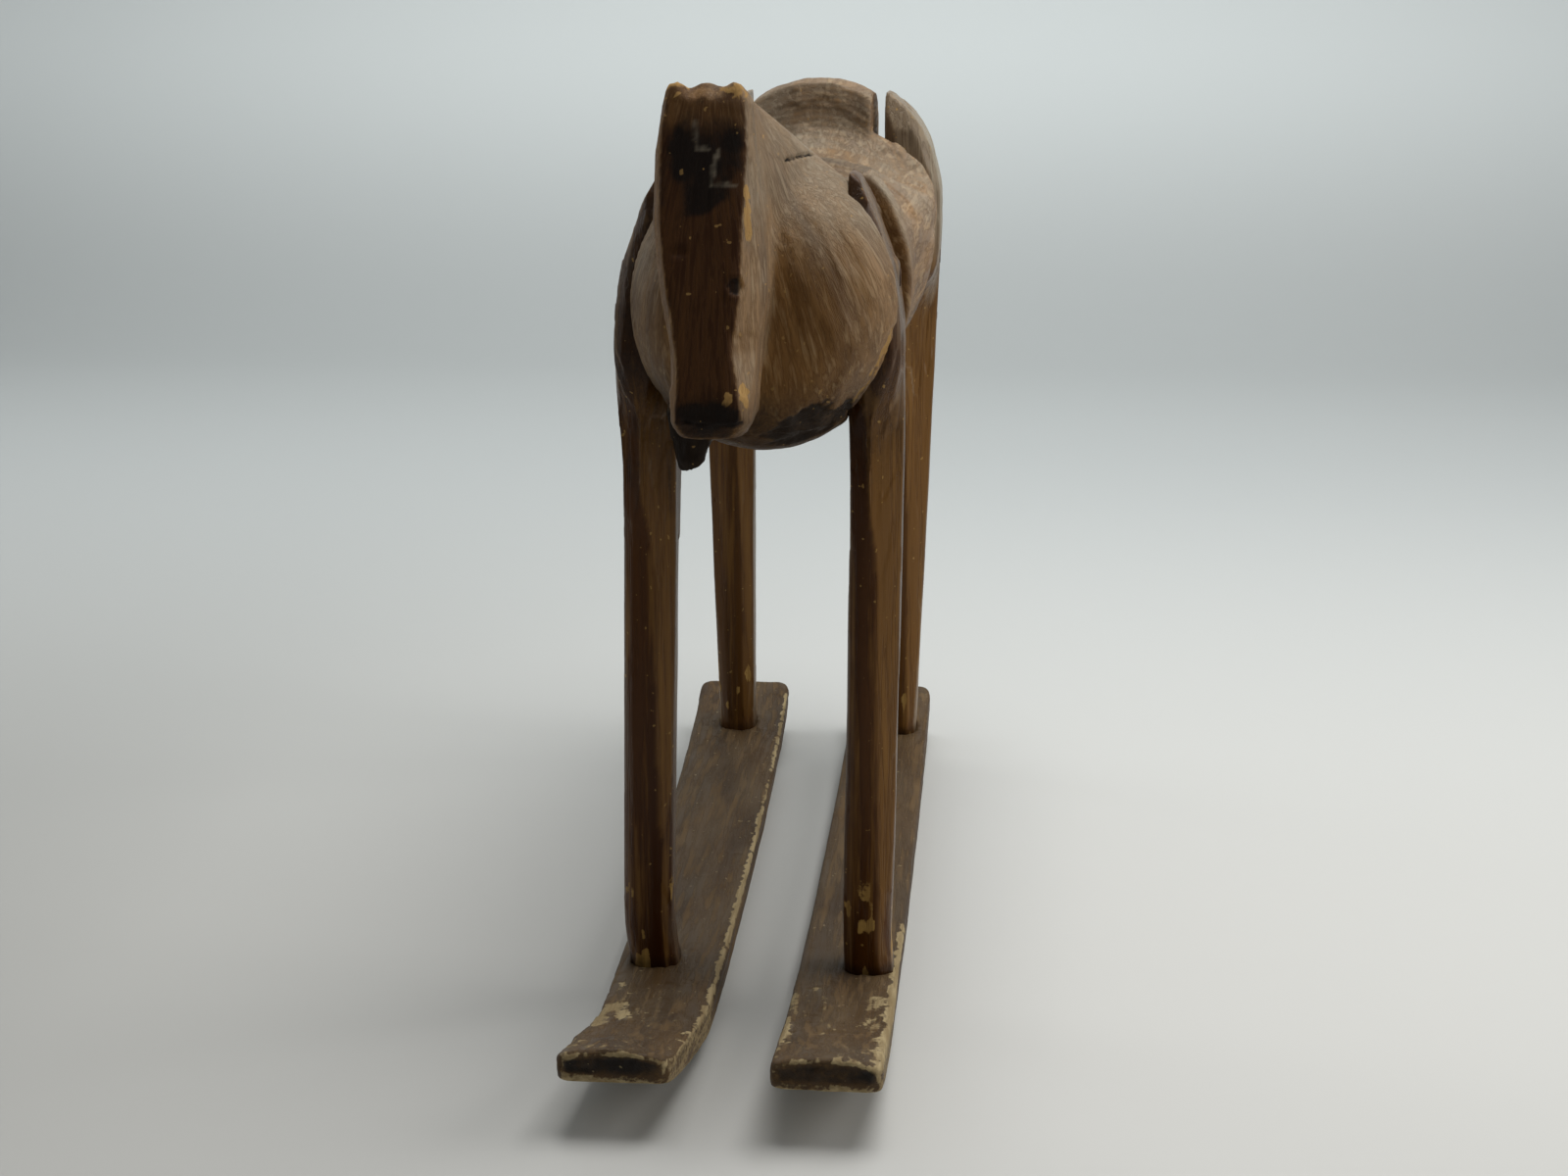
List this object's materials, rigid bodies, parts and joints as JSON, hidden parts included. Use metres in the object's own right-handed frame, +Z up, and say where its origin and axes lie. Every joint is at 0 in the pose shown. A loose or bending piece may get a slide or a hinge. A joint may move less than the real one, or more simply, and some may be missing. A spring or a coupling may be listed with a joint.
{
  "type": "rocking horse",
  "caption": "Small hand-hewn wooden rocking horse: log body with carved neck and head, half-lapped legs, long bowed runners.",
  "frame": {"origin": "centre of the footprint box, on the floor that the runners rest on", "axes": "+Z up; the horse faces -Y; its left side is +X"},
  "size_m": [0.1924, 0.72, 0.547],
  "materials": {
    "hewn_log": "aged bare wood with worn dark stain, satin",
    "whittled_leg": "dark glossy old stain with worn facets",
    "runner_board": "brown paint scraped to pale wood at the edges",
    "end_grain_peg": "dark end grain, matt",
    "tenon_wedge": "paler wedge wood, matt"
  },
  "bodies": {
    "root": {"body_log": "hewn_log", "leg_front_left": "whittled_leg", "leg_front_right": "whittled_leg", "leg_rear_left": "whittled_leg", "leg_rear_right": "whittled_leg", "runner_left": "runner_board", "runner_right": "runner_board", "peg_front_left_low": "end_grain_peg", "peg_front_left_high": "end_grain_peg", "peg_front_right_low": "end_grain_peg", "peg_front_right_high": "end_grain_peg", "peg_rear_left_low": "end_grain_peg", "peg_rear_left_high": "end_grain_peg", "peg_rear_right_low": "end_grain_peg", "peg_rear_right_high": "end_grain_peg", "wedge_front_left": "tenon_wedge", "wedge_front_right": "tenon_wedge", "wedge_rear_left": "tenon_wedge", "wedge_rear_right": "tenon_wedge"}
  },
  "joints": []
}
